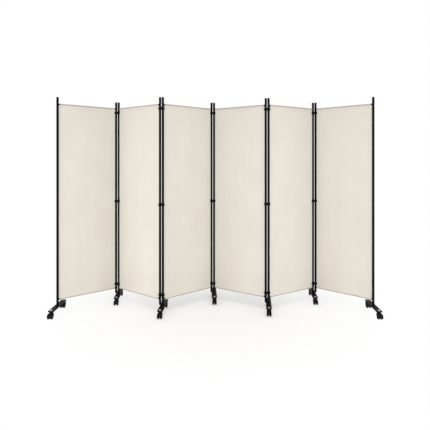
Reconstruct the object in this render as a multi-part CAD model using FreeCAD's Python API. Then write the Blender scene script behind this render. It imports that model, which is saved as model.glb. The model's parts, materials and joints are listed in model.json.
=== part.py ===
import FreeCAD, Part
import math
import os

# A six-panel folding screen on casters, in its half-open zigzag, in millimetres.
# X runs along the screen, +Y away from the side it is seen from, +Z up from the floor.
# Stations 1 to 7 are the places where a foot stands, from left to right, and panel k hangs
# between stations k and k + 1. The end stations carry one post and the others carry two.

Vector = FreeCAD.Vector
UP = Vector(0, 0, 1)
ALONG = Vector(1, 0, 0)

# The whole screen
total_height = 1730.0
panel_width = 495.0
pair_pitch = 22.5
panel_headings_deg = (36.8, -35.6, 38.3, -31.2, 30.9, -39.0)
station_yaws_deg = (-0.8, 4.6, -2.8, 1.6, -5.8, -4.5, -1.3)

# The post of its pair that each foot stands under: -1 the left, 1 the right, 0 where there is one
foot_post_sides = (0, 1, 1, 1, 1, -1, 0)

# Clearances
running_gap = 0.05
seat_gap = 0.2
cloth_gap = 0.3
cut_overrun = 5.0

# Posts and their caps
post_diameter = 19.0
post_wall = 1.0
cap_crown = 9.0
cap_rounding = 5.0
cap_plug_length = 14.0

# The plug in the bottom of a post that hangs beside a foot's own post
hanging_post_gap = 2.0
end_plug_crown = 3.0
end_plug_rounding = 1.2
end_plug_length = 12.0

# Cross rods, the ferrules on their ends and the screws that hold them to the posts
rod_diameter = 12.0
rod_wall = 1.0
top_rod_drop = 60.0
bottom_rod_height = 108.0
ferrule_diameter = 15.0
ferrule_length = 5.0
ferrule_plug_length = 18.0
screw_diameter = 5.0
screw_hole_gap = 0.3
screw_depth = 14.0
screw_head_diameter = 7.0
screw_head_height = 1.1
screw_head_rounding = 0.5

# Cloth, sewn round the two rods
cloth_thickness = 1.2
cloth_side_gap = 0.8
seam_drop = 4.5
clip_notch_gap = 1.0

# Double clips that join two neighbouring posts
clip_outer_diameter = 28.0
clip_height = 23.0
clip_rounding = 4.0
clip_waist_width = 13.0
clip_ferrule_gap = 12.0

# Feet: an upside-down steel tray with an upright peg that a post turns on
foot_length = 268.0
foot_width = 44.0
foot_top_height = 60.0
foot_depth = 9.0
foot_sheet = 1.5
foot_corner_radius = 7.0
foot_edge_rounding = 2.5
peg_length = 40.0
peg_lead_in = 2.0

# Caster stems and nuts, fixed to the foot
stem_spacing = 242.0
stem_diameter = 8.0
stem_hole_gap = 0.3
stem_collar_diameter = 17.0
stem_tip_length = 7.0
nut_across_flats = 15.0
nut_height = 5.0
nut_chamfer = 1.0

# Twin-wheel casters
caster_trail = 15.0
wheel_diameter = 40.0
wheel_width = 14.0
wheel_rounding = 3.0
wheel_dish_depth = 2.5
wheel_rim_thickness = 5.0
wheel_hub_diameter = 13.0
wheel_side_gap = 0.5
axle_diameter = 6.0
web_thickness = 8.0
web_drop = 8.0
hood_gap = 1.0
hood_wall = 2.0
hood_top_gap = 6.0
hood_corner_radius = 4.0
hood_shoulder_radius = 10.0
hood_skirt_angle_deg = -10.0
swivel_socket_depth = 8.0

# Heights and radii that several pieces share
post_radius = post_diameter / 2
post_bore_radius = post_radius - post_wall
rod_radius = rod_diameter / 2
ferrule_radius = ferrule_diameter / 2
pocket_radius = rod_radius + cloth_gap + cloth_thickness
top_rod_height = total_height - top_rod_drop
rod_heights = (bottom_rod_height, top_rod_height)
clip_rod_offset = ferrule_radius + clip_ferrule_gap + clip_height / 2
clip_heights = (bottom_rod_height + clip_rod_offset, total_height / 2, top_rod_height - clip_rod_offset)
post_bottom = foot_top_height + seat_gap
hanging_tube_bottom = foot_top_height + hanging_post_gap + end_plug_crown
tube_top = total_height - cap_crown
foot_underside = foot_top_height - foot_depth
plate_underside = foot_top_height - foot_sheet
hood_top = foot_underside - hood_top_gap
axle_height = wheel_diameter / 2
hood_inner_radius = wheel_diameter / 2 + hood_gap
hood_outer_radius = hood_inner_radius + hood_wall
hood_half_width = web_thickness / 2 + wheel_side_gap + wheel_width
station_count = len(station_yaws_deg)
panel_count = len(panel_headings_deg)


def bar(radius, start, length, direction=UP):
    """A round bar from start along direction."""
    return Part.makeCylinder(radius, length, start, direction)


def plan_turn(angle_deg):
    """The unit vector at this angle from +X in plan."""
    return Vector(math.cos(math.radians(angle_deg)), math.sin(math.radians(angle_deg)), 0)


def placed(shape, origin, angle_deg):
    """The shape turned about its own vertical axis and carried to origin."""
    moved = shape.copy()
    moved.rotate(Vector(0, 0, 0), UP, angle_deg)
    moved.translate(origin)
    return moved


def rounded_slab(length, width, height, corner_radius, base):
    """An upright slab with rounded corners in plan, long along Y, centred over base."""
    slab = Part.makeBox(width, length, height, base - Vector(width / 2, length / 2, 0))
    upright = [edge for edge in slab.Edges if edge.BoundBox.ZLength > seat_gap]
    return slab.makeFillet(corner_radius, upright)


def edges_at_height(shape, height):
    """The edges that lie wholly at this height."""
    reach = seat_gap / 2
    return [e for e in shape.Edges if abs(e.BoundBox.ZMin - height) < reach and abs(e.BoundBox.ZMax - height) < reach]


# Where the stations stand
def station_places():
    """Each station's centre in plan, walked from the left end along the panels."""
    centres = [Vector(0, 0, 0)]
    for index in range(panel_count):
        last = index == panel_count - 1
        leave = centres[index] + plan_turn(station_yaws_deg[index]) * post_offset(index, 1)
        arrive = leave + plan_turn(panel_headings_deg[index]) * panel_width
        centre = arrive if last else arrive + plan_turn(station_yaws_deg[index + 1]) * (pair_pitch / 2)
        centres.append(centre)
    return centres


def post_offset(station, side):
    """How far a station's post on this side, -1 or 1, stands from its centre."""
    single = station in (0, station_count - 1)
    return 0 if single else side * pair_pitch / 2


def post_place(centres, station, side):
    """A post's axis in plan, on one side of its station."""
    return centres[station] + plan_turn(station_yaws_deg[station]) * post_offset(station, side)


# One panel, built along X about its own middle, standing on the floor plane
def make_posts(standing_sides):
    """Two cross-drilled tubes, each with a cap in its top, and a plug in its bottom where it hangs."""
    pieces = []
    for side in (-1, 1):
        axis = Vector(side * panel_width / 2, 0, 0)
        tube_bottom = post_bottom if side in standing_sides else hanging_tube_bottom
        tube = bar(post_radius, axis + UP * tube_bottom, tube_top - tube_bottom)
        bore_start = axis + UP * (tube_bottom - cut_overrun)
        tube = tube.cut(bar(post_bore_radius, bore_start, tube_top - tube_bottom + cut_overrun * 2))
        for height in rod_heights:
            drill_start = axis + UP * height - ALONG * post_diameter
            tube = tube.cut(bar(screw_diameter / 2 + screw_hole_gap, drill_start, post_diameter * 2, ALONG))
        pieces.append(tube)
        crown = bar(post_radius, axis + UP * tube_top, cap_crown)
        crown = crown.makeFillet(cap_rounding, edges_at_height(crown, total_height))
        plug = bar(post_bore_radius, axis + UP * (tube_top - cap_plug_length), cap_plug_length)
        pieces.append(crown.fuse(plug).removeSplitter())
        if side not in standing_sides:
            pieces.append(make_end_plug(axis))
    return Part.makeCompound(pieces)


def make_end_plug(axis):
    """A plug with a rounded crown that closes the bottom of a hanging post."""
    crown_bottom = hanging_tube_bottom - end_plug_crown
    crown = bar(post_radius, axis + UP * crown_bottom, end_plug_crown)
    crown = crown.makeFillet(end_plug_rounding, edges_at_height(crown, crown_bottom))
    shank = bar(post_bore_radius, axis + UP * hanging_tube_bottom, end_plug_length)
    return crown.fuse(shank).removeSplitter()


def make_rods():
    """The two cross rods with a ferrule and a screw at each end."""
    pieces = []
    rod_reach = panel_width / 2 - post_radius - ferrule_length
    for height in rod_heights:
        middle = UP * height
        rod = bar(rod_radius, middle - ALONG * rod_reach, rod_reach * 2, ALONG)
        pieces.append(rod.cut(bar(rod_radius - rod_wall, middle - ALONG * rod_reach, rod_reach * 2, ALONG)))
        for side in (-1, 1):
            pieces.append(make_ferrule(side, height, rod_reach))
            pieces.append(make_screw(side, height))
    return Part.makeCompound(pieces)


def make_ferrule(side, height, rod_reach):
    """A collar saddled to the post, with a plug that fills the rod's end and takes the screw."""
    inward = ALONG * -side
    post_axis = ALONG * (side * panel_width / 2) + UP * height
    collar = bar(ferrule_radius, post_axis, post_radius + ferrule_length, inward)
    plug = bar(rod_radius - rod_wall, ALONG * (side * rod_reach) + UP * height, ferrule_plug_length, inward)
    body = collar.fuse(plug)
    saddle = bar(post_radius, post_axis - UP * ferrule_diameter, ferrule_diameter * 2)
    body = body.cut(saddle)
    body = body.cut(bar(screw_diameter / 2, post_axis, post_radius + screw_depth, inward))
    return body.removeSplitter()


def make_screw(side, height):
    """A round-headed screw through the post from its outer side into the ferrule."""
    inward = ALONG * -side
    post_axis = ALONG * (side * panel_width / 2) + UP * height
    head_top = post_axis - inward * (post_radius + screw_head_height)
    head = bar(screw_head_diameter / 2, head_top, post_radius, inward)
    crown = [e for e in head.Edges if e.BoundBox.XLength < seat_gap and abs(e.CenterOfMass.x - head_top.x) < seat_gap]
    head = head.makeFillet(screw_head_rounding, crown)
    head = head.cut(bar(post_radius, post_axis - UP * screw_head_diameter, screw_head_diameter * 2))
    shank_start = post_axis - inward * (post_radius + screw_head_height / 2)
    shank = bar(screw_diameter / 2, shank_start, screw_head_height / 2 + post_diameter + screw_depth, inward)
    return head.fuse(shank).removeSplitter()


def make_cloth(clip_sides):
    """The cloth stretched between the rods: a sheet, a pocket round each rod and its sewn fold."""
    half_width = panel_width / 2 - post_radius - cloth_side_gap
    pocket_half = panel_width / 2 - post_radius - ferrule_length - cloth_gap
    corner = Vector(-half_width, -cloth_thickness / 2, bottom_rod_height)
    cloth = Part.makeBox(half_width * 2, cloth_thickness, top_rod_height - bottom_rod_height, corner)
    for height, inward in zip(rod_heights, (1, -1)):
        left_end = UP * height - ALONG * pocket_half
        cloth = cloth.fuse(bar(pocket_radius, left_end, pocket_half * 2, ALONG))
        cloth = cloth.fuse(make_seam(height, inward, pocket_half))
    for height in rod_heights:
        rod_start = UP * height - ALONG * panel_width / 2
        cloth = cloth.cut(bar(rod_radius + cloth_gap, rod_start, panel_width, ALONG))
        for side in (-1, 1):
            post_axis = ALONG * (side * panel_width / 2) + UP * height
            reach = post_radius + ferrule_length + cloth_gap
            cloth = cloth.cut(bar(ferrule_radius + cloth_gap, post_axis, reach, ALONG * -side))
    for side in clip_sides:
        for height in clip_heights:
            cloth = cloth.cut(make_clip_notch(side, height))
    return cloth.removeSplitter()


def make_seam(height, inward, pocket_half):
    """The doubled strip where the cloth is sewn to itself beside a rod."""
    strip_height = pocket_radius + seam_drop
    base = height if inward > 0 else height - strip_height
    corner = Vector(-pocket_half, -cloth_thickness, base)
    return Part.makeBox(pocket_half * 2, cloth_thickness * 2, strip_height, corner)


def make_clip_notch(side, height):
    """The room in the cloth's edge that a clip turns in."""
    reach = clip_outer_diameter / 2 + clip_notch_gap
    room = clip_height + clip_notch_gap * 2
    axis = ALONG * (side * panel_width / 2) + UP * (height - room / 2)
    return bar(reach, axis, room)


# One station: its clips about the pair's middle, its foot about its own post and lying along Y
def make_clips():
    """Three double clips, each a pair of joined rings that two posts turn in."""
    pieces = []
    for height in clip_heights:
        base = UP * (height - clip_height / 2)
        rings = []
        for side in (-1, 1):
            ring = bar(clip_outer_diameter / 2, base + ALONG * (side * pair_pitch / 2), clip_height)
            rims = [edge for edge in ring.Edges if edge.BoundBox.ZLength < seat_gap]
            rings.append(ring.makeFillet(clip_rounding, rims))
        waist_height = clip_height - clip_rounding * 2
        waist_corner = Vector(-pair_pitch / 2, -clip_waist_width / 2, base.z + clip_rounding)
        clip = rings[0].fuse(rings[1])
        clip = clip.fuse(Part.makeBox(pair_pitch, clip_waist_width, waist_height, waist_corner))
        for side in (-1, 1):
            bore_start = base + ALONG * (side * pair_pitch / 2) - UP * cut_overrun
            clip = clip.cut(bar(post_radius + running_gap, bore_start, clip_height + cut_overrun * 2))
        pieces.append(clip.removeSplitter())
    return Part.makeCompound(pieces)


def make_foot():
    """The tray, the peg that carries a post, and the caster stems with their nuts."""
    base = UP * foot_underside
    tray = rounded_slab(foot_length, foot_width, foot_depth, foot_corner_radius, base)
    tray = tray.makeFillet(foot_edge_rounding, edges_at_height(tray, foot_top_height))
    inner_base = UP * (foot_underside - cut_overrun)
    inner = rounded_slab(
        foot_length - foot_sheet * 2,
        foot_width - foot_sheet * 2,
        foot_depth - foot_sheet + cut_overrun,
        foot_corner_radius - foot_sheet,
        inner_base,
    )
    inner = inner.makeFillet(foot_edge_rounding - foot_sheet / 2, edges_at_height(inner, plate_underside))
    tray = tray.cut(inner)
    pieces = []
    for end in (-1, 1):
        stem_foot = Vector(0, end * stem_spacing / 2, plate_underside)
        tray = tray.cut(bar(stem_diameter / 2 + stem_hole_gap, stem_foot - UP * cut_overrun, cut_overrun * 2))
        pieces.append(make_stem(end))
        pieces.append(make_nut(end))
    peg = bar(post_bore_radius - running_gap, UP * foot_top_height, peg_length)
    pieces.append(peg.makeChamfer(peg_lead_in, edges_at_height(peg, foot_top_height + peg_length)))
    return Part.makeCompound([tray] + pieces)


def make_stem(end):
    """A caster's stem: a pin in the hood, a collar under the foot and a threaded tip above it."""
    axis = Vector(0, end * stem_spacing / 2, 0)
    pin_bottom = hood_top - swivel_socket_depth + seat_gap
    tip_top = foot_top_height + stem_tip_length
    collar_bottom = hood_top + seat_gap
    pin = bar(stem_diameter / 2, axis + UP * pin_bottom, tip_top - pin_bottom)
    collar = bar(stem_collar_diameter / 2, axis + UP * collar_bottom, plate_underside - collar_bottom)
    return pin.fuse(collar).removeSplitter()


def make_nut(end):
    """A hexagon nut on the foot's top, chamfered above and bored for its stem."""
    axis = Vector(0, end * stem_spacing / 2, foot_top_height)
    corner_radius = nut_across_flats / 2 / math.cos(math.pi / 6)
    corners = [axis + plan_turn(turn) * corner_radius for turn in range(0, 361, 60)]
    prism = Part.Face(Part.makePolygon(corners)).extrude(UP * nut_height)
    cone_top = corner_radius - nut_chamfer
    cone = Part.makeCone(cone_top + nut_height, cone_top, nut_height, axis, UP)
    nut = prism.common(cone)
    return nut.cut(bar(stem_diameter / 2, axis - UP * cut_overrun, nut_height + cut_overrun * 2))


# One caster, built about its swivel axis with the wheels trailing towards -Y
def hood_profile():
    """The hood's side outline as a wire in the YZ plane, closed round the web."""
    axle = Vector(0, -caster_trail, axle_height)
    front = hood_outer_radius - caster_trail
    shelf = stem_collar_diameter / 2
    shelf_end = Vector(0, -shelf, hood_top)
    to_shelf = shelf_end - axle
    shelf_angle = math.atan2(to_shelf.z, -to_shelf.y)
    touch_angle = shelf_angle - math.acos(hood_outer_radius / to_shelf.Length)
    skirt_angle = math.radians(hood_skirt_angle_deg)

    def on_hood(angle):
        return axle + Vector(0, -math.cos(angle), math.sin(angle)) * hood_outer_radius

    front_low = Vector(0, front, axle_height)
    front_high = Vector(0, front, hood_top - hood_corner_radius)
    top_front = Vector(0, front - hood_corner_radius, hood_top)
    bend = hood_corner_radius * math.sqrt(0.5)
    corner_middle = Vector(0, top_front.y + bend, front_high.z + bend)
    web_rear = axle + Vector(0, -web_drop, -web_drop)
    web_front = axle + Vector(0, web_drop, -web_drop)
    edges = [
        Part.makeLine(front_low, front_high),
        Part.Arc(front_high, corner_middle, top_front).toShape(),
        Part.makeLine(top_front, shelf_end),
        Part.makeLine(shelf_end, on_hood(touch_angle)),
        Part.Arc(on_hood(touch_angle), on_hood((touch_angle + skirt_angle) / 2), on_hood(skirt_angle)).toShape(),
        Part.makeLine(on_hood(skirt_angle), web_rear),
        Part.makeLine(web_rear, web_front),
        Part.makeLine(web_front, front_low),
    ]
    return Part.Wire(edges)


def make_hood():
    """The caster's hood: a shell over both wheels, a web between them and a socket for the stem."""
    side = Part.Face(hood_profile())
    side.translate(ALONG * -hood_half_width)
    hood = side.extrude(ALONG * (hood_half_width * 2))
    block_length = (hood_outer_radius + caster_trail) * 3
    block_corner = Vector(-hood_half_width, -block_length / 2, 0)
    block = Part.makeBox(hood_half_width * 2, block_length, hood_top, block_corner)
    hood = hood.common(block.makeFillet(hood_shoulder_radius, edges_at_height_along(block, hood_top)))
    axle = Vector(0, -caster_trail, axle_height)
    for end in (-1, 1):
        wheel_room = bar(hood_inner_radius, axle + ALONG * (end * web_thickness / 2), hood_half_width, ALONG * end)
        hood = hood.cut(wheel_room)
    axle_start = axle - ALONG * web_thickness
    hood = hood.cut(bar(axle_diameter / 2 + running_gap, axle_start, web_thickness * 2, ALONG))
    socket_start = UP * (hood_top - swivel_socket_depth)
    return hood.cut(bar(stem_diameter / 2 + running_gap, socket_start, swivel_socket_depth + cut_overrun))


def edges_at_height_along(shape, height):
    """The edges at this height that run along Y."""
    return [edge for edge in edges_at_height(shape, height) if edge.BoundBox.XLength < seat_gap]


def make_wheels():
    """Two dished wheels pressed on one axle."""
    axle = Vector(0, -caster_trail, axle_height)
    pieces = []
    for end in (-1, 1):
        outward = ALONG * end
        inner_face = axle + outward * (web_thickness / 2 + wheel_side_gap)
        outer_face = inner_face + outward * wheel_width
        wheel = bar(wheel_diameter / 2, inner_face, wheel_width, outward)
        rims = [edge for edge in wheel.Edges if edge.BoundBox.XLength < seat_gap]
        wheel = wheel.makeFillet(wheel_rounding, rims)
        dish_start = outer_face - outward * wheel_dish_depth
        dish = bar(wheel_diameter / 2 - wheel_rim_thickness, dish_start, wheel_dish_depth + cut_overrun, outward)
        hub = bar(wheel_hub_diameter / 2, dish_start, wheel_dish_depth + cut_overrun, outward)
        wheel = wheel.cut(dish.cut(hub))
        pieces.append(wheel.cut(bar(axle_diameter / 2, inner_face - outward * cut_overrun, hood_half_width * 2, outward)))
    axle_length = hood_half_width * 2
    pieces.append(bar(axle_diameter / 2, axle - ALONG * (axle_length / 2), axle_length, ALONG))
    return Part.makeCompound(pieces)


# The whole screen
def build_nodes():
    """Every node's shape by its name, in the walk's own frame."""
    centres = station_places()
    nodes = {}
    for station in range(station_count):
        number = station + 1
        yaw = station_yaws_deg[station]
        foot_place = post_place(centres, station, foot_post_sides[station])
        nodes[f"foot_{number}"] = placed(make_foot(), foot_place, yaw)
        if 0 < station < station_count - 1:
            nodes[f"hinge_clips_{number}"] = placed(make_clips(), centres[station], yaw)
        for end, name in ((-1, "front"), (1, "rear")):
            swivel = foot_place + plan_turn(yaw + 90) * (end * stem_spacing / 2)
            nodes[f"caster_{number}_{name}_hood"] = placed(make_hood(), swivel, yaw)
            nodes[f"caster_{number}_{name}_wheels"] = placed(make_wheels(), swivel, yaw)
    for panel in range(panel_count):
        number = panel + 1
        left = post_place(centres, panel, 1)
        right = post_place(centres, panel + 1, -1)
        middle = (left + right) / 2
        heading = panel_headings_deg[panel]
        clip_sides = [side for side, edge in ((-1, 0), (1, panel_count - 1)) if panel != edge]
        ends = ((-1, foot_post_sides[panel]), (1, foot_post_sides[panel + 1]))
        standing_sides = [side for side, foot_side in ends if foot_side in (0, -side)]
        nodes[f"panel_{number}_posts"] = placed(make_posts(standing_sides), middle, heading)
        nodes[f"panel_{number}_rods"] = placed(make_rods(), middle, heading)
        nodes[f"panel_{number}_cloth"] = placed(make_cloth(clip_sides), middle, heading)
    return nodes


def middle_shift(nodes):
    """The move in plan that brings the middle of the screen's box over the origin."""
    box = Part.makeCompound(list(nodes.values())).optimalBoundingBox()
    return Vector(-box.Center.x, -box.Center.y, 0)


def main():
    """Builds every node about the origin and writes one STEP file for each."""
    os.makedirs("parts", exist_ok=True)
    nodes = build_nodes()
    shift = middle_shift(nodes)
    for name, shape in nodes.items():
        shape.translate(shift)
        shape.exportStep(f"parts/{name}.step")
    print(f"{len(nodes)} nodes, shift {shift.x:.3f}, {shift.y:.3f}")


if __name__ == "__main__":
    main()
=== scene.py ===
"""Folding screen: cream cloth panels on black tube posts, joined by ring clips and standing on caster feet.

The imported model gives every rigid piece. This script dresses those pieces, hangs the cloths, sews them, and
adds the small bright and moulded fittings that are too fine for the model.
"""

import json
import logging
import math
from dataclasses import dataclass, field
from enum import Enum
from typing import Callable, Sequence

import bpy
from mathutils import Matrix, Vector


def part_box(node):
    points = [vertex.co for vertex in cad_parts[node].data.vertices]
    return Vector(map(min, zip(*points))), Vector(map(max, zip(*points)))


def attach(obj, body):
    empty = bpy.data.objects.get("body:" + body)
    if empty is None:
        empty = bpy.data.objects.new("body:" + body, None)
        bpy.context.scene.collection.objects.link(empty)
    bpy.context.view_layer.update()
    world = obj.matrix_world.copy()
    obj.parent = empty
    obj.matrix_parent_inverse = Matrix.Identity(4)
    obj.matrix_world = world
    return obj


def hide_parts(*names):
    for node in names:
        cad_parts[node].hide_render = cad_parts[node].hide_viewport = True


logging.basicConfig(level=logging.INFO, format="%(name)s: %(message)s")
log = logging.getLogger("folding_screen")

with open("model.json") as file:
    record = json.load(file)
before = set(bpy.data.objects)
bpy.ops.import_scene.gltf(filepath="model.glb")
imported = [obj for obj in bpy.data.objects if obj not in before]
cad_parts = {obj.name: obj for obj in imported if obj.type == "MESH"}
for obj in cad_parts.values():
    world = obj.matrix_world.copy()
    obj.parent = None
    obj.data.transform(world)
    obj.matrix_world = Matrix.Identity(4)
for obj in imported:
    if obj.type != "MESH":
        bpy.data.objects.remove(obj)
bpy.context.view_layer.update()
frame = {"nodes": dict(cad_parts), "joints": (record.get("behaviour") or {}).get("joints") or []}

MM = 0.001
PANEL_COUNT = 6
STATION_COUNT = PANEL_COUNT + 1
FLAT_MAP = "flat_metres"
SPINDLE_SIDES = 4
CLOTH_CREASE = 50.0
FITTING_CREASE = 35.0
NO_CREASE = 180.0
MIX_A, MIX_B, MIX_RESULT = 6, 7, 2  # where Blender's mix node has its colours
BAND_SCALE = math.pi / 10  # the scale at which Blender's wave texture repeats once in each unit

Tree = bpy.types.NodeTree
Socket = bpy.types.NodeSocket
Material = bpy.types.Material
Piece = bpy.types.Object


class Side(Enum):
    """A panel's two upright edges, as the sign of the local X axis."""

    LEFT = -1
    RIGHT = 1


class End(Enum):
    """The two casters of a foot."""

    FRONT = "front"
    REAR = "rear"


class Zone(Enum):
    """Which part of the cloth a row of its mesh belongs to, as its material index."""

    BODY = 0
    # the cloth round a rod, given the darker pocket cloth: painted shade along the pocket's round, partly the
    # dark rod showing through the cloth
    POCKET = 1


Row = tuple[tuple[float, float], tuple[float, float], Zone]  # a row's place, outward normal and zone
Skin = list[list[int]]  # the vertices of one face of the cloth, row by row


# Colour and nodes
def linear(hex_colour: str) -> tuple[float, float, float, float]:
    """Turns an sRGB hex colour into the linear values that a shader takes.

    Args:
        hex_colour: six hex digits, with or without a leading hash.

    Returns:
        Red, green, blue and an alpha of one.
    """
    digits = hex_colour.lstrip("#")
    channels = [int(digits[i:i + 2], 16) / 255 for i in (0, 2, 4)]
    straight = [c / 12.92 if c <= 0.04045 else ((c + 0.055) / 1.055) ** 2.4 for c in channels]
    return (straight[0], straight[1], straight[2], 1.0)


def add_node(
    tree: Tree,
    kind: str,
    values: dict | None = None,
    links: dict | None = None,
    **settings: object,
) -> bpy.types.Node:
    """Adds a shader node with its settings, socket values and incoming links.

    Args:
        tree: the node tree to add it to.
        kind: the name of Blender's node type, after ShaderNode.
        values: input name or index to a constant.
        links: input name or index to the output socket that feeds it.
        settings: the node's own properties.

    Returns:
        The new node.
    """
    node = tree.nodes.new(f"ShaderNode{kind}")
    for name, setting in settings.items():
        setattr(node, name, setting)
    for name, value in (values or {}).items():
        node.inputs[name].default_value = value
    for name, socket in (links or {}).items():
        tree.links.new(socket, node.inputs[name])
    return node


def new_material(name: str) -> tuple[Material, Tree, bpy.types.Node]:
    """Makes an empty node material.

    Args:
        name: the finish's name.

    Returns:
        The material, its tree and its output node.
    """
    material = bpy.data.materials.new(name)
    material.use_nodes = True
    tree = material.node_tree
    tree.nodes.clear()
    return material, tree, add_node(tree, "OutputMaterial")


def repeats_per_metre(size_mm: float) -> float:
    """How many repeats of a pattern of this real size lie in a metre, as a texture's scale."""
    return 1.0 / (size_mm * MM)


def limits(way: str, low: float, high: float) -> dict[str, float]:
    """The two ends of a map range, as its input values, where way is From or To."""
    return {f"{way} Min": low, f"{way} Max": high}


def two_tone(
    tree: Tree, output: bpy.types.Node, tones: tuple[str, str], mask: Socket, values: dict, links: dict
) -> None:
    """Closes a material with a surface whose colour goes from one tone to another.

    Args:
        tree: the material's tree.
        output: its output node.
        tones: the two colours as hex values.
        mask: how much of the second tone shows, from 0 to 1.
        values: the surface's constant values.
        links: the sockets that feed its other inputs.
    """
    colours = {MIX_A: linear(tones[0]), MIX_B: linear(tones[1])}
    colour = add_node(tree, "Mix", colours, {0: mask}, data_type="RGBA").outputs[MIX_RESULT]
    shader = add_node(tree, "BsdfPrincipled", values, {"Base Color": colour, **links})
    tree.links.new(shader.outputs["BSDF"], output.inputs["Surface"])


# Finishes
@dataclass(frozen=True)
class WovenPolyester:
    """Plain-woven spun polyester in cream.

    The matt yarns scatter light nearly evenly, with a faint sheen at grazing angles. The eye finds the
    crossing of warp and weft close by, thicker slub yarns further off, and a faint unevenness of tone from
    the dyeing.
    """

    name: str = "cream_woven_polyester"
    colour: str = "#E4DFD6"
    slub_colour: str = "#DAD4C8"
    thread_mm: float = 1.1  # real yarns are 0.4 mm apart, drawn this coarse so that they show close by
    thread_waver: float = 0.6
    slub_length_mm: float = 90.0
    slub_width_mm: float = 2.2
    slub_range: tuple[float, float] = (0.52, 0.75)
    slub_share: float = 0.35
    slub_relief: float = 0.8
    tone_mm: float = 260.0
    tone_range: tuple[float, float] = (0.2, 1.3)
    weave_depth_mm: float = 0.12
    weave_strength: float = 0.6
    roughness: float = 0.92
    sheen: float = 0.25
    sheen_roughness: float = 0.5
    specular: float = 0.2

    def build(self) -> Material:
        """Makes the material from the cloth's own flat coordinates, in metres along and up the panel.

        Returns:
            The finished material.
        """
        material, tree, output = new_material(self.name)
        flat = add_node(tree, "UVMap", uv_map=FLAT_MAP).outputs["UV"]
        weft, warp = self.yarns(tree, flat, "Y"), self.yarns(tree, flat, "X")
        crossing = add_node(tree, "Math", {}, {0: weft, 1: warp}, operation="MAXIMUM").outputs[0]
        across = self.slubs(tree, flat, (self.slub_length_mm, self.slub_width_mm))
        upward = self.slubs(tree, flat, (self.slub_width_mm, self.slub_length_mm))
        slub = add_node(tree, "Math", {}, {0: across, 1: upward}, operation="ADD").outputs[0]
        broad = {"Scale": repeats_per_metre(self.tone_mm), "Detail": 2.0}
        tone = add_node(tree, "TexNoise", broad, {"Vector": flat}).outputs["Fac"]
        toned, raised = {0: slub, 2: tone}, {0: slub, 2: crossing}
        blend = add_node(tree, "Math", {1: self.slub_share}, toned, operation="MULTIPLY_ADD").outputs[0]
        mask = add_node(tree, "MapRange", limits("From", *self.tone_range), {0: blend}).outputs[0]
        relief = add_node(tree, "Math", {1: self.slub_relief}, raised, operation="MULTIPLY_ADD").outputs[0]
        depth = {"Strength": self.weave_strength, "Distance": self.weave_depth_mm * MM}
        bump = add_node(tree, "Bump", depth, {"Height": relief}).outputs["Normal"]
        values = {
            "Roughness": self.roughness,
            "Sheen Weight": self.sheen,
            "Sheen Roughness": self.sheen_roughness,
            "Specular IOR Level": self.specular,
        }
        two_tone(tree, output, (self.colour, self.slub_colour), mask, values, {"Normal": bump})
        return material

    def yarns(self, tree: Tree, flat: Socket, axis: str) -> Socket:
        """Draws one set of parallel yarns.

        Args:
            tree: the material's tree.
            flat: the cloth's flat coordinates.
            axis: the axis that the yarns are counted along, X or Y.

        Returns:
            The yarns' height, from 0 to 1.
        """
        pair_mm = self.thread_mm * 2
        scale = repeats_per_metre(pair_mm) * BAND_SCALE
        values = {"Scale": scale, "Distortion": self.thread_waver, "Detail": 1.0, "Detail Scale": 2.0}
        shape = {"wave_type": "BANDS", "bands_direction": axis, "wave_profile": "SIN"}
        return add_node(tree, "TexWave", values, {"Vector": flat}, **shape).outputs["Fac"]

    def slubs(self, tree: Tree, flat: Socket, size_mm: tuple[float, float]) -> Socket:
        """Draws thicker stretches of yarn as noise drawn out along the yarn.

        Args:
            tree: the material's tree.
            flat: the cloth's flat coordinates.
            size_mm: a slub's extent along and up the cloth.

        Returns:
            The slubs' strength, from 0 to 1.
        """
        scale = Vector((repeats_per_metre(size_mm[0]), repeats_per_metre(size_mm[1]), 1.0))
        drawn = add_node(tree, "VectorMath", {1: scale}, {0: flat}, operation="MULTIPLY").outputs[0]
        grain = add_node(tree, "TexNoise", {"Scale": 1.0, "Detail": 2.0}, {"Vector": drawn}).outputs["Fac"]
        return add_node(tree, "MapRange", limits("From", *self.slub_range), {0: grain}).outputs[0]


@dataclass(frozen=True)
class HardFinish:
    """What the hard finishes share: patches of a second tone and another gloss, over a finer relief.

    The gloss follows the patches, or the bare noise behind them. A finish with no relief depth is even.
    """

    name: str
    colour: str
    patch_colour: str
    patch_mm: float
    patch_detail: float
    roughness_range: tuple[float, float]
    patch_range: tuple[float, float] = (0.0, 1.0)
    gloss_in_patches: bool = True
    relief_mm: float = 1.0
    relief_detail: float = 2.0
    relief_depth_mm: float = 0.0
    relief_strength: float = 0.5
    metallic: float = 0.0
    specular: float = 0.5

    def build(self) -> Material:
        """Makes the material in the row frame's own coordinates.

        Returns:
            The finished material.
        """
        material, tree, output = new_material(self.name)
        place = add_node(tree, "TexCoord").outputs["Object"]
        broad = {"Scale": repeats_per_metre(self.patch_mm), "Detail": self.patch_detail}
        noise = add_node(tree, "TexNoise", broad, {"Vector": place}).outputs["Fac"]
        patches = add_node(tree, "MapRange", limits("From", *self.patch_range), {0: noise}).outputs[0]
        source = patches if self.gloss_in_patches else noise
        gloss = add_node(tree, "MapRange", limits("To", *self.roughness_range), {0: source}).outputs[0]
        links = {"Roughness": gloss}
        if self.relief_depth_mm > 0:
            fine = {"Scale": repeats_per_metre(self.relief_mm), "Detail": self.relief_detail}
            grain = add_node(tree, "TexNoise", fine, {"Vector": place}).outputs["Fac"]
            depth = {"Strength": self.relief_strength, "Distance": self.relief_depth_mm * MM}
            links["Normal"] = add_node(tree, "Bump", depth, {"Height": grain}).outputs["Normal"]
        values = {"Metallic": self.metallic, "Specular IOR Level": self.specular}
        two_tone(tree, output, (self.colour, self.patch_colour), patches, values, links)
        return material


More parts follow.
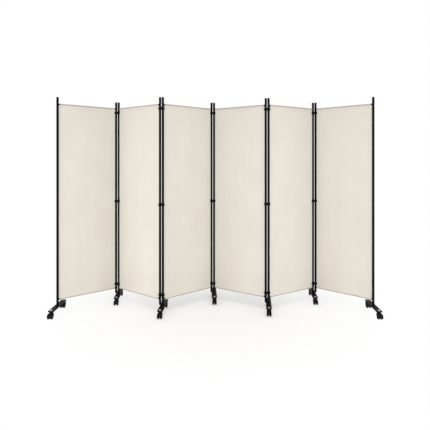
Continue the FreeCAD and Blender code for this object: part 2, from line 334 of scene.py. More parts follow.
@dataclass(frozen=True)
class PowderCoat(HardFinish):
    """Polyester powder coat, sprayed dry and baked on steel.

    It flows out to a satin film with a slight orange peel, which breaks the highlights along the tubes.
    Handling leaves a few paler rubs.
    """

    name: str = "black_powder_coat"
    colour: str = "#070708"
    patch_colour: str = "#0E0E0F"
    patch_mm: float = 45.0
    patch_detail: float = 6.0
    patch_range: tuple[float, float] = (0.56, 0.78)
    gloss_in_patches: bool = False
    relief_mm: float = 1.8
    relief_detail: float = 1.0
    relief_depth_mm: float = 0.03
    relief_strength: float = 0.35
    roughness_range: tuple[float, float] = (0.375, 0.45)
    specular: float = 0.06


@dataclass(frozen=True)
class MouldedNylon(HardFinish):
    """Black nylon, injection moulded against a spark-eroded tool.

    The fine texture of the tool gives a matt, slightly grey black, and dust settles unevenly in it.
    """

    name: str = "black_moulded_nylon"
    colour: str = "#09090A"
    patch_colour: str = "#151516"
    patch_mm: float = 9.0
    patch_detail: float = 4.0
    patch_range: tuple[float, float] = (0.45, 0.8)
    relief_mm: float = 0.7
    relief_depth_mm: float = 0.05
    roughness_range: tuple[float, float] = (0.55, 0.75)
    specular: float = 0.1


@dataclass(frozen=True)
class ZincPlate(HardFinish):
    """Bright zinc, barrel-plated on turned steel.

    A pale metal with a faint blue cast and cloudy patches where the plating tumbled against its neighbours.
    """

    name: str = "bright_zinc_plate"
    colour: str = "#D6D9DC"
    patch_colour: str = "#B6BABE"
    patch_mm: float = 6.0
    patch_detail: float = 3.0
    roughness_range: tuple[float, float] = (0.22, 0.42)
    metallic: float = 1.0


@dataclass
class Finishes:
    """Every finish of the screen, made once and shared."""

    cloth: Material = field(default_factory=WovenPolyester().build)
    # the darker cloth round each rod: painted shade along the pocket's round, partly the dark rod showing
    # through the cloth
    pocket: Material = field(default_factory=WovenPolyester(
        name="cream_polyester_painted_pocket_shade", colour="#B9B1A3", slub_colour="#AFA797"
    ).build)
    thread: Material = field(default_factory=WovenPolyester(
        name="sewing_thread", colour="#DAD3C5", slub_colour="#CFC6B6", thread_mm=0.6
    ).build)
    post: Material = field(default_factory=PowderCoat().build)
    foot: Material = field(default_factory=PowderCoat(
        name="black_powder_coat_feet", colour="#0A0A0B", patch_colour="#151516",
        roughness_range=(0.475, 0.55), specular=0.08
    ).build)
    nylon: Material = field(default_factory=MouldedNylon().build)
    wheel: Material = field(default_factory=MouldedNylon(
        name="black_wheel_nylon", colour="#111112", patch_colour="#232221", roughness_range=(0.45, 0.65)
    ).build)
    zinc: Material = field(default_factory=ZincPlate().build)


# Mesh code
@dataclass
class MeshSketch:
    """Vertices and faces gathered in a local frame, then made into one object in the row frame."""

    points: list[Vector] = field(default_factory=list)
    faces: list[tuple[int, ...]] = field(default_factory=list)
    slots: list[int] = field(default_factory=list)
    flat: list[tuple[float, float]] = field(default_factory=list)

    def point(self, place: Vector, flat: tuple[float, float] = (0.0, 0.0)) -> int:
        """Adds a vertex.

        Args:
            place: where, in the local frame.
            flat: its flat coordinates.

        Returns:
            The vertex's index.
        """
        self.points.append(place)
        self.flat.append(flat)
        return len(self.points) - 1

    def face(self, corners: Sequence[int], slot: int = 0, turned: bool = False) -> None:
        """Adds a face through these vertices, or through them the other way round when it is turned."""
        self.faces.append(tuple(corners[::-1] if turned else corners))
        self.slots.append(slot)

    def lathe(self, profile: Sequence[tuple[float, float]], at: Matrix, steps: int) -> None:
        """Turns a profile about an axis, closing it where it meets the axis.

        Args:
            profile: radius and height pairs from one end to the other.
            at: the place whose Z axis the profile turns about.
            steps: how many sides the turning has.
        """
        rings: list[list[int]] = []
        for radius, height in profile:
            turns = [2 * math.pi * i / steps for i in range(steps if radius > 0 else 1)]
            places = [Vector((radius * math.cos(a), radius * math.sin(a), height)) for a in turns]
            rings.append([self.point(at @ place) for place in places])
        for low, high in zip(rings, rings[1:]):
            for i in range(steps):
                j = (i + 1) % steps
                corners = [low[i % len(low)], low[j % len(low)], high[j % len(high)], high[i % len(high)]]
                self.face(list(dict.fromkeys(corners)))

    def spindle(self, start: Vector, end: Vector, radius: float) -> None:
        """Adds a slim closed bead between two points, such as one stitch.

        Args:
            start: its first tip.
            end: its other tip.
            radius: its half thickness at the middle.
        """
        along = (end - start).normalized()
        side = along.orthogonal().normalized()
        other = along.cross(side)
        middle = (start + end) / 2
        ring = [self.point(middle + direction * radius) for direction in (side, other, -side, -other)]
        first, last = self.point(start), self.point(end)
        for i in range(SPINDLE_SIDES):
            j = (i + 1) % SPINDLE_SIDES
            self.face((first, ring[j], ring[i]))
            self.face((last, ring[i], ring[j]))

    def block(self, at: Matrix, size: Vector, slot: int, taper: float) -> None:
        """Adds a box that stands on a place and narrows towards its top.

        Args:
            at: the middle of its base, with its own axes.
            size: its extents.
            slot: the material index.
            taper: how wide its top is, as a share of its base.
        """
        half = (size.x / 2, size.y / 2)
        ends = []
        for height, share in ((0.0, 1.0), (size.z, taper)):
            x, y = half[0] * share, half[1] * share
            corners = ((-x, -y, height), (x, -y, height), (x, y, height), (-x, y, height))
            ends.append([self.point(at @ Vector(corner)) for corner in corners])
        low, high = ends
        self.face(low, slot, turned=True)
        self.face(high, slot)
        for i in range(len(low)):
            j = (i + 1) % len(low)
            self.face((low[i], low[j], high[j], high[i]), slot)

    def build(
        self, name: str, body: str, slot: str, finishes: Sequence[Material],
        place: Matrix = Matrix.Identity(4), crease_deg: float = FITTING_CREASE
    ) -> Piece:
        """Makes the object, with its vertices carried to their place in the row frame.

        Args:
            name: the piece's name.
            body: the body that it rides on.
            slot: a finish slot's name; not used.
            finishes: a material for each index.
            place: from the local frame to the row frame.
            crease_deg: the least turn between two faces that stays a sharp edge.

        Returns:
            The new object, linked to the scene.
        """
        mesh = bpy.data.meshes.new(name)
        mesh.from_pydata([place @ p for p in self.points], [], self.faces)
        for finish in finishes:
            mesh.materials.append(finish)
        mesh.polygons.foreach_set("material_index", self.slots)
        mesh.polygons.foreach_set("use_smooth", [True] * len(self.faces))
        layer = mesh.uv_layers.new(name=FLAT_MAP)
        for loop in mesh.loops:
            layer.data[loop.index].uv = self.flat[loop.vertex_index]
        mesh.update()
        mesh.set_sharp_from_angle(angle=math.radians(crease_deg))
        piece = bpy.data.objects.new(name, mesh)
        bpy.context.scene.collection.objects.link(piece)
        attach(piece, body)
        log.info("%s: %d faces", name, len(self.faces))
        return piece


def ease(x: float) -> float:
    """A smooth step from 0 to 1 as x goes from 0 to 1."""
    t = min(max(x, 0.0), 1.0)
    return t * t * (3 - 2 * t)


def dress(name: str, finishes: Sequence[Material], choose: Callable[[Vector], int] = lambda c: 0) -> None:
    """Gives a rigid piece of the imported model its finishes.

    Args:
        name: the piece's name.
        finishes: its materials in order.
        choose: picks a material index from a face's middle in the row frame.
    """
    node = frame["nodes"][name]
    node.data.materials.clear()
    for finish in finishes:
        node.data.materials.append(finish)
    for polygon in node.data.polygons:
        polygon.material_index = choose(polygon.center)
    log.info("%s: dressed", name)


def joint_record(*names: str) -> dict:
    """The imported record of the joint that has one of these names."""
    return next(joint for joint in frame["joints"] if joint["name"] in names)


# The panels
@dataclass
class Panel:
    """One cloth panel between two posts, with its local frame along the rods."""

    number: int
    finishes: Finishes
    post_radius: float = 9.5 * MM
    ferrule_length: float = 5.0 * MM
    pocket_radius: float = 7.5 * MM
    cap_crown: float = 9.0 * MM
    end_plug_reach: float = 4.8 * MM
    clip_reach: float = 15.4 * MM
    screw_head_radius: float = 3.5 * MM
    screw_head_height: float = 1.1 * MM

    def __post_init__(self) -> None:
        """Finds the panel's posts, rods and clips in the frame."""
        left, right = self.post_axis(self.number), self.post_axis(self.number + 1)
        along = (right - left).normalized()
        away = Vector((-along.y, along.x, 0))
        axes = Matrix((along, away, (0, 0, 1))).transposed()
        self.place = Matrix.Translation((left + right) / 2) @ axes.to_4x4()
        self.width = (right - left).length
        low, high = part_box(f"panel_{self.number}_cloth")
        self.bottom_rod = low[2] + self.pocket_radius
        self.top_rod = high[2] - self.pocket_radius
        self.body = f"panel_{self.number}"

    def post_axis(self, station: int) -> Vector:
        """The place in plan of this panel's post at a station.

        Args:
            station: the station's number.

        Returns:
            The post's axis, on the floor plane.
        """
        names = (f"panel_{self.number}_at_foot_{station}", f"foot_{station}_at_panel_{self.number}")
        place = joint_record(*names)["pos_m"]
        return Vector((place[0], place[1], 0))

    def clip_rows(self, side: Side) -> list[float]:
        """The heights of the clips on one side of the panel.

        Args:
            side: the panel's side.

        Returns:
            The clips' middle heights, lowest first, or none at an end of the screen.
        """
        station = self.number if side is Side.LEFT else self.number + 1
        if station in (1, STATION_COUNT):
            return []
        return ClipSet(f"hinge_clips_{station}").heights()

    def dress_metal(self) -> None:
        """Dresses the posts with their caps and end plugs, and the rods with their ferrules and screws."""
        posts = f"panel_{self.number}_posts"
        low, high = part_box(posts)
        plug_top, cap_base = low[2] + self.end_plug_reach, high[2] - self.cap_crown
        finishes = self.finishes
        dress(posts, [finishes.post, finishes.nylon], lambda c: int(c.z > cap_base or c.z < plug_top))
        inverse = self.place.inverted()
        head_base = self.width / 2 + self.post_radius / 2
        rods = f"panel_{self.number}_rods"
        dress(rods, [finishes.post, finishes.zinc], lambda c: int(abs((inverse @ c).x) > head_base))

    def build(self) -> None:
        """Makes everything that the panel shows."""
        self.dress_metal()
        sheet = ClothSheet(self)
        cloth = sheet.build()
        stitching = Stitching(self, sheet).build()
        sheet.flat_size()
        ScrewHeads(self).build()


@dataclass
class ClothSheet:
    """A panel's cloth: one piece, folded round each rod, sewn to its own back and hemmed at its sides.

    Its front hangs in soft upright waves, and its pockets gather it a little. Each wave_fade is the power by
    which the waves die out, upwards and sideways. Leans are in radians, each with its rate up the cloth.
    """

    panel: Panel
    thickness: float = 0.6 * MM
    side_gap: float = 0.9 * MM
    pocket_gap: float = 0.4 * MM
    seam_drop: float = 4.5 * MM
    shade_start: float = -0.55
    tail: float = 8.0 * MM
    tail_layers: float = 1.15
    hem: float = 12.0 * MM
    hem_layers: float = 1.8
    hem_columns: tuple[float, ...] = (0.0, 3.0 * MM, 6.5 * MM)
    hem_step: float = 0.3 * MM
    edge_step: float = 0.9 * MM
    notch_room: float = 13.0 * MM
    notch_ease: float = 3.5 * MM
    notch_rows: tuple[float, ...] = (0.0, 0.6, 1.0)
    seam_rows: tuple[float, ...] = (0.3, 0.7, 1.0)
    arc_steps: int = 18
    row_pitch: float = 26.0 * MM
    column_count: int = 30
    wave_depth: float = 1.5 * MM
    wave_pitch: float = 190.0 * MM
    wave_fade: tuple[float, float] = (0.6, 0.7)
    wave_lean: tuple[float, float] = (0.35, 2.1)
    wave_shift: float = 1.7
    ripple_share: float = 0.45
    ripple_ratio: float = 2.3
    ripple_lean: float = 2.4
    gather_depth: float = 0.5 * MM
    gather_pitch: float = 38.0 * MM
    gather_reach: float = 60.0 * MM
    gather_sway: tuple[float, float] = (2.6, 11.0)

    def __post_init__(self) -> None:
        """Works out the pockets' teardrop, the seams' heights, the widths and the clips beside the cloth."""
        panel = self.panel
        self.fold_radius = panel.pocket_radius - self.thickness / 2
        self.seam_reach = self.fold_radius + self.seam_drop
        self.top_seam = panel.top_rod - self.seam_reach
        self.bottom_seam = panel.bottom_rod + self.seam_reach
        self.back_plane = self.thickness * self.tail_layers
        self.clips = {side: panel.clip_rows(side) for side in Side}
        self.full_half = panel.width / 2 - panel.post_radius - self.side_gap
        self.pocket_half = panel.width / 2 - panel.post_radius - panel.ferrule_length - self.pocket_gap

    def flat_size(self) -> tuple[float, float]:
        """The size that the cloth was cut to.

        Returns:
            Its width with both hems turned in, and its length along the path.
        """
        path = self.path()
        run = sum((Vector(a[0]) - Vector(b[0])).length for a, b in zip(path, path[1:]))
        return (self.full_half * 2 + self.hem * 2, run)

    def path(self) -> list[Row]:
        """The cloth's line in section, from its tail on the upper rod to its tail on the lower one.

        Returns:
            For each row its place away from the panel's plane and its height, the outward normal there, and
            the zone of the strip that follows it.
        """
        top, bottom, back = self.top_seam, self.bottom_seam, self.back_plane
        rows = [((back, height), (1.0, 0.0), Zone.BODY) for height in (top - self.tail, top)]
        rows += self.fold(self.panel.top_rod, 1)
        rows += [((0.0, height), (-1.0, 0.0), Zone.BODY) for height in self.body_heights()]
        rows += self.fold(self.panel.bottom_rod, -1)
        rows += [((back, height), (1.0, 0.0), Zone.BODY) for height in (bottom, bottom + self.tail)]
        return rows

    def fold(self, rod: float, way: int) -> list[Row]:
        """The rows round one rod.

        Args:
            rod: the rod's height.
            way: 1 over the upper rod, or -1 under the lower one.

        Returns:
            The rows, in the order of the path.
        """
        spread = math.acos(self.fold_radius / self.seam_reach)
        start = -math.pi / 2 * way + spread
        sweep = 2 * (math.pi - spread)
        rows = []
        for i in range(self.arc_steps + 1):
            turn = start + sweep * i / self.arc_steps
            normal = (math.cos(turn), math.sin(turn))
            # rows past shade_start take the darker pocket cloth, painted shade round the rod
            zone = Zone.POCKET if normal[1] * way > self.shade_start else Zone.BODY
            rows.append(((normal[0] * self.fold_radius, rod + normal[1] * self.fold_radius), normal, zone))
        return rows

    def body_heights(self) -> list[float]:
        """The heights of the flat part's rows, close together at the seams and beside each clip.

        Returns:
            The heights, highest first.
        """
        top, bottom = self.top_seam, self.bottom_seam
        heights = {top, bottom}
        for share in self.seam_rows:
            heights.update((top - self.notch_ease * share, bottom + self.notch_ease * share))
        clips = sorted({height for rows in self.clips.values() for height in rows})
        room = self.notch_room + self.notch_ease
        offsets = [self.notch_room * share for share in self.notch_rows]
        for offset in (*offsets, self.notch_room + self.notch_ease / 2, room):
            heights.update(height + offset * way for height in clips for way in (-1, 1))
        clear = room + self.row_pitch / 4
        count = int((top - bottom) / self.row_pitch)
        for i in range(1, count):
            height = bottom + (top - bottom) * i / count
            if all(abs(height - other) > clear for other in (top, bottom, *clips)):
                heights.add(height)
        return sorted((h for h in heights if bottom <= h <= top), reverse=True)

    def edge_inset(self, side: Side, height: float, zone: Zone) -> float:
        """How far the cloth's edge draws in from its full width.

        Args:
            side: which edge.
            height: where, above the floor.
            zone: the part of the cloth.

        Returns:
            The inset, in metres.
        """
        pocket = self.full_half - self.pocket_half
        ends = min(self.top_seam - height, height - self.bottom_seam)
        inset = pocket if zone is Zone.POCKET else pocket * (1 - ease(ends / self.notch_ease))
        notch = self.full_half - (self.panel.width / 2 - self.panel.clip_reach)
        for clip in self.clips[side]:
            inset = max(inset, notch * (1 - ease((abs(height - clip) - self.notch_room) / self.notch_ease)))
        return inset

    def columns(self, height: float, zone: Zone) -> list[tuple[float, float]]:
        """Where the mesh's columns cross one row.

        Args:
            height: the row's height.
            zone: the part of the cloth.

        Returns:
            For each column its place along the panel and how much of the hem lies there, from 0 to 1.
        """
        offsets = [(offset, 1.0) for offset in self.hem_columns]
        offsets += [(self.hem - self.hem_step, 1.0), (self.hem + self.hem_step, 0.0)]
        sides = []
        for side in Side:
            sides.append([])
            inset = self.edge_inset(side, height, zone)
            for i, (offset, hem) in enumerate(offsets):
                reach = self.full_half - max(offset, inset + self.edge_step * i)
                sides[-1].append((side.value * reach, hem))
        first, last = sides
        inner, span = first[-1][0], last[-1][0] - first[-1][0]
        middle = [(inner + span * i / self.column_count, 0.0) for i in range(1, self.column_count)]
        return first + middle + last[::-1]

    def drift(self, along: float, height: float) -> float:
        """How far the cloth stands off its plane, in soft upright waves that die out at its edges.

        Args:
            along: the place along the panel.
            height: the height above the floor.

        Returns:
            The distance away from the panel's plane, in metres.
        """
        seed, top, bottom = self.panel.number, self.panel.top_rod, self.panel.bottom_rod
        up = min(max((height - bottom) / (top - bottom), 0.0), 1.0)
        across = max(1 - (along / self.full_half) ** 2, 0.0)
        window = math.sin(math.pi * up) ** self.wave_fade[0] * across ** self.wave_fade[1]
        lean = self.wave_lean[0] * math.sin(self.wave_lean[1] * height + seed)
        phase = 2 * math.pi * along / self.wave_pitch + lean + self.wave_shift * seed
        ripple = self.ripple_share * math.sin(self.ripple_ratio * phase + self.ripple_lean * height)
        ends = max(min(top - height, height - bottom), 0.0)
        fade = ease((ends - self.seam_reach) / self.seam_reach) * math.exp(-ends / self.gather_reach)
        sway = self.gather_sway[0] * math.sin(self.gather_sway[1] * along + seed)
        gather = math.sin(2 * math.pi * along / self.gather_pitch + sway)
        return self.wave_depth * window * (math.sin(phase) + ripple) + self.gather_depth * fade * gather

    def build(self) -> Piece:
        """Makes the cloth as a closed skin with a front and a back.

        Returns:
            The piece, riding on its panel.
        """
        sketch = MeshSketch()
        rows = self.path()
        front, back = self.lay_out(sketch, rows)
        self.join(sketch, rows, front, back)
        panel = self.panel
        # the second finish is the darker pocket cloth, painted shade round the rods
        finishes = [panel.finishes.cloth, panel.finishes.pocket]
        name = f"panel_{panel.number}_cloth"
        piece = sketch.build(f"{name}_sheet", panel.body, "cloth", finishes, panel.place, CLOTH_CREASE)
        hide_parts(name)
        return piece

    def lay_out(self, sketch: MeshSketch, rows: list[Row]) -> tuple[Skin, Skin]:
        """Lays out the vertices of the cloth's two faces.

        Args:
            sketch: the mesh to add to.
            rows: the cloth's line in section.

        Returns:
            The front and the back.
        """
        run = 0.0
        front: Skin = []
        back: Skin = []
        for index, ((away, height), normal, _) in enumerate(rows):
            if index:
                before = rows[index - 1][0]
                run += math.hypot(away - before[0], height - before[1])
            body = normal[0] < 0 and abs(away) < self.thickness / 2
            tail = normal[0] == 1.0
            outward = Vector((0, normal[0], normal[1])) * (self.thickness / 2)
            front.append([])
            back.append([])
            for along, hem in self.columns(height, Zone.BODY if body else Zone.POCKET):
                shift = self.drift(along, height) if body or tail else 0.0
                middle = Vector((along, away + shift, height))
                inner = outward * (1 + (hem * self.hem_layers if body else 0.0))
                front[-1].append(sketch.point(middle + outward, (along, -run)))
                back[-1].append(sketch.point(middle - inner, (along, -run)))
        return front, back

    def join(self, sketch: MeshSketch, rows: list[Row], front: Skin, back: Skin) -> None:
        """Joins the vertices into a front, a back and the thin edges all round.

        Args:
            sketch: the mesh to add to.
            rows: the cloth's line in section.
            front: the vertices of the front.
            back: the vertices of the back.
        """
        for row in range(len(rows) - 1):
            slot = rows[row][2].value
            for column in range(len(front[row]) - 1):
                for skin, turned in ((front, False), (back, True)):
                    a, b = skin[row][column:column + 2]
                    d, c = skin[row + 1][column:column + 2]
                    sketch.face((a, b, c, d), slot, turned)
            for column, turned in ((0, False), (-1, True)):
                rim = (front[row][column], front[row + 1][column], back[row + 1][column], back[row][column])
                sketch.face(rim, slot, turned)
        for row, turned in ((0, False), (-1, True)):
            for column in range(len(front[row]) - 1):
                end = (front[row][column + 1], front[row][column], back[row][column], back[row][column + 1])
                sketch.face(end, turned=turned)


@dataclass
class Stitching:
    """The lockstitch seams of one cloth, stitch by stitch on both faces."""

    panel: Panel
    sheet: ClothSheet
    stitch: float = 3.6 * MM
    pitch: float = 5.0 * MM
    thread_radius: float = 0.28 * MM
    end_room: float = 1.12 * MM
    hem_line: float = 10.2 * MM
    pocket_line: float = 2.5 * MM

    def build(self) -> Piece:
        """Sews two side hems and a seam under each rod.

        Returns:
            The piece, riding on its panel.
        """
        sketch = MeshSketch()
        sheet = self.sheet
        edge = sheet.full_half - self.hem_line
        face = sheet.thickness / 2
        for side in Side:
            start = Vector((side.value * edge, 0, sheet.bottom_seam + sheet.tail))
            end = Vector((side.value * edge, 0, sheet.top_seam - sheet.tail))
            self.seam(sketch, start, end, -face)
            self.seam(sketch, start, end, face * (1 + sheet.hem_layers))
        reach = sheet.pocket_half - self.end_room
        for height in (sheet.top_seam - self.pocket_line, sheet.bottom_seam + self.pocket_line):
            start, end = Vector((-reach, 0, height)), Vector((reach, 0, height))
            self.seam(sketch, start, end, -face)
            self.seam(sketch, start, end, sheet.back_plane + face)
        panel = self.panel
        name = f"panel_{panel.number}_stitching"
        return sketch.build(name, panel.body, "cloth", [panel.finishes.thread], panel.place, NO_CREASE)

    def seam(self, sketch: MeshSketch, start: Vector, end: Vector, off: float) -> None:
        """Lays one line of stitches on the cloth's own waves.

        Args:
            sketch: the mesh to add to.
            start: the line's first end, in the panel's plane.
            end: its other end.
            off: how far off the cloth's middle the thread lies.
        """
        count = int((end - start).length / self.pitch)
        along = (end - start).normalized()
        for i in range(count):
            middle = start + (end - start) * ((i + 0.5) / count)
            tips = []
            for way in (-0.5, 0.5):
                tip = middle + along * (self.stitch * way)
                tip.y = self.sheet.drift(tip.x, tip.z) + off
                tips.append(tip)
            sketch.spindle(tips[0], tips[1], self.thread_radius)


@dataclass
class ScrewHeads:
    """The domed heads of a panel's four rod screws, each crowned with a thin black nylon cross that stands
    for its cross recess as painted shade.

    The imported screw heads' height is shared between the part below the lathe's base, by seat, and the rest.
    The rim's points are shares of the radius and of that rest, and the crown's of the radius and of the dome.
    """

    panel: Panel
    seat: float = 0.55
    dome: float = 0.25 * MM
    cover: float = 0.06 * MM
    rim_points: tuple[tuple[float, float], ...] = ((1.0, -1.0), (1.0, 0.2), (0.94, 0.75), (0.8, 1.0))
    crown_points: tuple[tuple[float, float], ...] = ((0.45, 0.3), (0.0, 0.35))
    recess_shade_length: float = 3.8 * MM
    recess_shade_width: float = 1.0 * MM
    recess_shade_depth: float = 0.075 * MM
    recess_shade_rise: float = 0.05 * MM
    recess_shade_taper: float = 0.8

    def build(self) -> None:
        """Makes the four heads as one piece that rides on the panel."""
        sketch = MeshSketch()
        panel = self.panel
        base = panel.width / 2 + panel.post_radius + panel.screw_head_height * self.seat
        top = panel.screw_head_height * (1 - self.seat) + self.cover
        rim = panel.screw_head_radius + self.cover
        profile = [(rim * radius, top * height) for radius, height in self.rim_points]
        profile += [(rim * radius, top + self.dome * height) for radius, height in self.crown_points]
        recess_shade_arm = Vector((self.recess_shade_length, self.recess_shade_width, self.recess_shade_depth))
        for side in Side:
            for height in (panel.bottom_rod, panel.top_rod):
                outward = Matrix.Rotation(math.pi / 2 * side.value, 4, "Y")
                at = Matrix.Translation((side.value * base, 0, height)) @ outward
                sketch.lathe(profile, at, steps=28)
                crown = at @ Matrix.Translation((0, 0, top + self.recess_shade_rise))
                # a thin black cross on each crown: painted shade of the cross recess
                for turn in (0, math.pi / 2):
                    sketch.block(crown @ Matrix.Rotation(turn, 4, "Z"), recess_shade_arm, 1, self.recess_shade_taper)
        finishes = [panel.finishes.zinc, panel.finishes.nylon]
        sketch.build(f"panel_{panel.number}_screw_heads", panel.body, "rod_enamel", finishes, panel.place)


# The stations
@dataclass
class ClipSet:
    """The three double clips that join a pair of posts."""

    name: str
    height: float = 23.0 * MM

    def heights(self) -> list[float]:
        """Where the clips stand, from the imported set's own box and vertices.

        Returns:
            The clips' middle heights, lowest first.
        """
        low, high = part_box(self.name)
        floor, ceiling = low[2] + self.height * 2, high[2] - self.height * 2
        between = [v.co.z for v in frame["nodes"][self.name].data.vertices if floor < v.co.z < ceiling]
        middle = (min(between) + max(between)) / 2
        return [low[2] + self.height / 2, middle, high[2] - self.height / 2]


@dataclass
class Station:
    """A foot with its caster fittings and, between panels, its clips.

    The flange's points are shares of its height, and its shoulder is a share of the nut's reach.
    """

    number: int
    finishes: Finishes
    stem_radius: float = 4.0 * MM
    stem_tip: float = 7.0 * MM
    nut_reach: float = 9.5 * MM
    nut_height: float = 5.0 * MM
    flange_radius: float = 8.8 * MM
    flange_height: float = 1.3 * MM
    flange_points: tuple[float, float] = (0.5, 1.5)
    flange_shoulder: float = 0.72
    tip_taper: float = 0.85
    thread_pitch: float = 1.25 * MM
    thread_depth: float = 0.25 * MM
    peg_length: float = 40.0 * MM
    face_room: float = 0.13 * MM

    def __post_init__(self) -> None:
        """Finds the foot's top and its two stems in the frame."""
        self.foot_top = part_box(f"foot_{self.number}")[1][2] - self.peg_length
        self.stems = [Vector(joint_record(f"swivel_{self.number}_{end.value}")["pos_m"]) for end in End]

    def is_fitting(self, centre: Vector) -> int:
        """Whether a face of the foot belongs to a nut or a stem's tip, as a material index."""
        near = min(math.hypot(centre.x - stem.x, centre.y - stem.y) for stem in self.stems)
        return int(near < self.nut_reach and centre.z > self.foot_top + self.face_room)

    def build(self) -> None:
        """Dresses the foot and the clips, and adds the nuts' flanges and the stems' threads."""
        dress(f"foot_{self.number}", [self.finishes.foot, self.finishes.zinc], self.is_fitting)
        if 1 < self.number < STATION_COUNT:
            dress(f"hinge_clips_{self.number}", [self.finishes.nylon])
        lip, top = (self.flange_height * point for point in self.flange_points)
        flange = [(self.stem_radius, 0.0), (self.flange_radius, 0.0), (self.flange_radius, lip)]
        flange += [(self.nut_reach * self.flange_shoulder, top), (self.stem_radius, top)]
        sketch = MeshSketch()
        for stem in self.stems:
            at = Matrix.Translation((stem.x, stem.y, self.foot_top))
            sketch.lathe(flange, at, steps=32)
            sketch.lathe(self.thread_profile(), at, steps=24)
        name = f"foot_{self.number}_nut_flanges"
        sketch.build(name, f"station_{self.number}", "foot_enamel", [self.finishes.zinc])

    def thread_profile(self) -> list[tuple[float, float]]:
        """The ridges of the stem's tip above the nut.

        Returns:
            Radius and height pairs for the lathe.
        """
        crest = self.stem_radius + self.thread_depth
        low, high = self.nut_height, self.stem_tip
        half_turn = self.thread_pitch / 2
        profile = [(0.0, low), (self.stem_radius, low)]
        for i in range(1, int((high - low) / half_turn)):
            profile.append((crest if i % 2 else self.stem_radius, low + half_turn * i))
        end = high + self.thread_depth / 2
        return profile + [(self.stem_radius, high), (self.stem_radius * self.tip_taper, end), (0.0, end)]


@dataclass
class Caster:
    """One swivelling twin-wheel caster.

    The hub cap's points are shares of the hub's radius and of the cap's height.
    """

    station: int
    end: End
    finishes: Finishes
    wheel_radius: float = 20.0 * MM
    wheel_width: float = 14.0 * MM
    inner_face: float = 4.5 * MM
    dish_depth: float = 2.5 * MM
    rim: float = 5.0 * MM
    hub_radius: float = 6.5 * MM
    cap_rise: float = 0.4 * MM
    cap_points: tuple[tuple[float, float], ...] = ((0.9, 0.0), (0.9, 0.8), (0.6, 1.0), (0.0, 1.05))
    spoke_width: float = 1.7 * MM
    spoke_height: float = 2.0 * MM
    spoke_overlap: float = 0.6 * MM
    spoke_taper: float = 0.85
    spoke_count: int = 6

    def build(self) -> None:
        """Dresses the hood and the wheels, and adds spokes and hub caps in the wheels' dishes."""
        label = f"{self.station}_{self.end.value}"
        dress(f"caster_{label}_hood", [self.finishes.nylon])
        dress(f"caster_{label}_wheels", [self.finishes.wheel])
        roll = joint_record(f"roll_{label}")
        floor = self.inner_face + self.wheel_width - self.dish_depth
        cap = self.dish_depth + self.cap_rise
        profile = [(self.hub_radius * radius, cap * height) for radius, height in self.cap_points]
        reach = self.wheel_radius - self.rim - self.hub_radius
        size = Vector((reach + self.spoke_overlap, self.spoke_width, self.spoke_height))
        sketch = MeshSketch()
        for way in (-1, 1):
            out = Vector(roll["axis"]) * way
            turn = out.to_track_quat("Z", "Y").to_matrix().to_4x4()
            at = Matrix.Translation(Vector(roll["pos_m"]) + out * floor) @ turn
            sketch.lathe(profile, at, steps=24)
            for i in range(self.spoke_count):
                spoke = at @ Matrix.Rotation(2 * math.pi * i / self.spoke_count, 4, "Z")
                middle = Matrix.Translation((self.hub_radius + reach / 2, 0, 0))
                sketch.block(spoke @ middle, size, 0, self.spoke_taper)
        sketch.build(f"caster_{label}_spokes", f"wheels_{label}", "wheel_nylon", [self.finishes.wheel])


# The studio
@dataclass(frozen=True)
class Photograph:
    """The photograph's square frame in its own pixels, and the level camera that was fitted to it."""

    side_px: float = 430.0
    focal_px: float = 399.1
    centre_px: float = 215.25
    horizon_px: float = 161.45
    sensor_mm: float = 36.0
    place: tuple[float, float, float] = (-0.0015, -3.3472, 1.2125)

    def build(self) -> None:
        """Makes the camera and sets it as the scene's."""
        data = bpy.data.cameras.new("camera")
        data.sensor_width = self.sensor_mm
        data.lens = self.focal_px / self.side_px * self.sensor_mm
        data.shift_x = (self.side_px / 2 - self.centre_px) / self.side_px
        data.shift_y = (self.horizon_px - self.side_px / 2) / self.side_px
        camera = bpy.data.objects.new("camera", data)
        camera.location = self.place
        camera.rotation_euler = (math.pi / 2, 0, 0)
        bpy.context.scene.collection.objects.link(camera)
        bpy.context.scene.camera = camera


@dataclass(frozen=True)
class Softbox:
    """A rectangular diffused lamp."""

    name: str
    place: tuple[float, float, float]
    aim: tuple[float, float, float]
    width: float
    height: float
    watts: float

    def build(self) -> None:
        """Hangs the lamp in the scene, turned towards its aim."""
        data = bpy.data.lights.new(self.name, "AREA")
        data.shape = "RECTANGLE"
        data.size = self.width
        data.size_y = self.height
        data.energy = self.watts
        lamp = bpy.data.objects.new(self.name, data)
        lamp.location = self.place
        lamp.rotation_euler = (Vector(self.aim) - Vector(self.place)).to_track_quat("-Z", "Y").to_euler()
        bpy.context.scene.collection.objects.link(lamp)


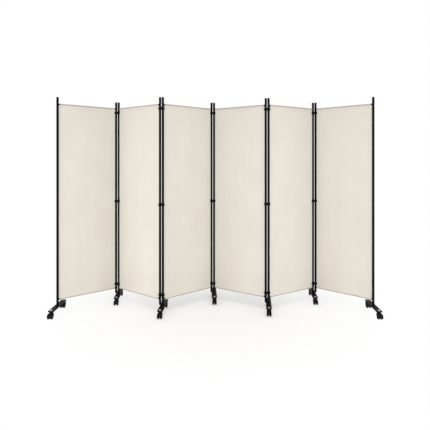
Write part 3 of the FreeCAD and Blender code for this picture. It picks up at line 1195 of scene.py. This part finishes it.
@dataclass
class Studio:
    """A white sweep with an even light all round, two low softboxes in front, one at each side, one overhead.

    Near the screen the floor shows its shadow, and from fade_start out to the ellipse of fade_reach it goes
    from fade_least towards plain white.
    """

    ambient: float = 0.68
    floor_size: float = 14.0
    floor_colour: str = "#FCFBF9"
    fade_reach: tuple[float, float] = (1.4, 1.18)
    fade_start: float = 0.2
    fade_least: float = 0.38
    lamps: tuple[Softbox, ...] = (
        Softbox("key_softbox", (-2.4, -2.6, 0.35), (-1.0, 0.0, 0.35), 1.6, 0.6, 18.5),
        Softbox("fill_softbox", (2.4, -2.6, 0.35), (1.0, 0.0, 0.35), 1.6, 0.6, 15.5),
        Softbox("left_softbox", (-5.0, -1.8, 0.4), (0.0, 0.0, 0.4), 2.0, 0.7, 38.0),
        Softbox("right_softbox", (5.0, -1.8, 0.4), (0.0, 0.0, 0.4), 2.0, 0.7, 32.0),
        Softbox("top_softbox", (0.0, -1.6, 7.8), (0.0, 0.0, 0.0), 6.2, 3.2, 136.0),
    )

    def build(self) -> None:
        """Makes the floor, the world's light and the lamps."""
        self.build_world()
        self.build_floor()
        for lamp in self.lamps:
            lamp.build()
        bpy.context.scene.view_settings.view_transform = "Standard"

    def sees_white(self, tree: Tree) -> Socket:
        """Finds which rays see a white room.

        Args:
            tree: the tree to add the nodes to.

        Returns:
            A mask that is one for camera, glossy and transmission rays.
        """
        ray = add_node(tree, "LightPath")
        straight = {0: ray.outputs["Is Camera Ray"], 1: ray.outputs["Is Glossy Ray"]}
        either = add_node(tree, "Math", {}, straight, operation="MAXIMUM").outputs[0]
        through = {0: either, 1: ray.outputs["Is Transmission Ray"]}
        return add_node(tree, "Math", {}, through, operation="MAXIMUM").outputs[0]

    def build_world(self) -> None:
        """Lights the room evenly, and shows it white."""
        world = bpy.data.worlds.new("white_room")
        bpy.context.scene.world = world
        world.use_nodes = True
        tree = world.node_tree
        tree.nodes.clear()
        light = add_node(tree, "Background", {"Color": linear("#FFFFFF"), "Strength": self.ambient})
        seen = add_node(tree, "Background", {"Color": linear("#FFFFFF"), "Strength": 1.0})
        links = {0: self.sees_white(tree), 1: light.outputs[0], 2: seen.outputs[0]}
        mix = add_node(tree, "MixShader", {}, links)
        add_node(tree, "OutputWorld", {}, {"Surface": mix.outputs[0]})

    def build_floor(self) -> None:
        """Makes the pale floor, which keeps the screen's soft shadow and fades to white further out."""
        half = self.floor_size / 2
        mesh = bpy.data.meshes.new("floor")
        corners = [(-half, -half, 0), (half, -half, 0), (half, half, 0), (-half, half, 0)]
        mesh.from_pydata(corners, [], [range(len(corners))])
        floor = bpy.data.objects.new("floor", mesh)
        bpy.context.scene.collection.objects.link(floor)
        material, tree, output = new_material("pale_floor")
        plain = add_node(tree, "BsdfDiffuse", {"Color": linear(self.floor_colour)})
        white = add_node(tree, "Emission", {"Color": linear("#FFFFFF"), "Strength": 1.0})
        place = add_node(tree, "TexCoord").outputs["Object"]
        reach = Vector((1 / self.fade_reach[0], 1 / self.fade_reach[1], 0.0))
        scaled = add_node(tree, "VectorMath", {1: reach}, {0: place}, operation="MULTIPLY").outputs[0]
        out = add_node(tree, "VectorMath", {}, {0: scaled}, operation="LENGTH").outputs["Value"]
        ends = {**limits("From", self.fade_start, 1.0), **limits("To", self.fade_least, 1.0)}
        far = add_node(tree, "MapRange", ends, {0: out}).outputs[0]
        seen = {0: far, 1: self.sees_white(tree)}
        faded = add_node(tree, "Math", {}, seen, operation="MULTIPLY").outputs[0]
        mix = add_node(tree, "MixShader", {}, {0: faded, 1: plain.outputs[0], 2: white.outputs[0]})
        tree.links.new(mix.outputs[0], output.inputs["Surface"])
        mesh.materials.append(material)


def main() -> None:
    """Builds the screen, station by station and panel by panel, and then the studio."""
    finishes = Finishes()
    for number in range(1, STATION_COUNT + 1):
        Station(number, finishes).build()
        for end in End:
            Caster(number, end, finishes).build()
    for number in range(1, PANEL_COUNT + 1):
        Panel(number, finishes).build()
    Studio().build()
    Photograph().build()


if __name__ == "__main__":
    main()
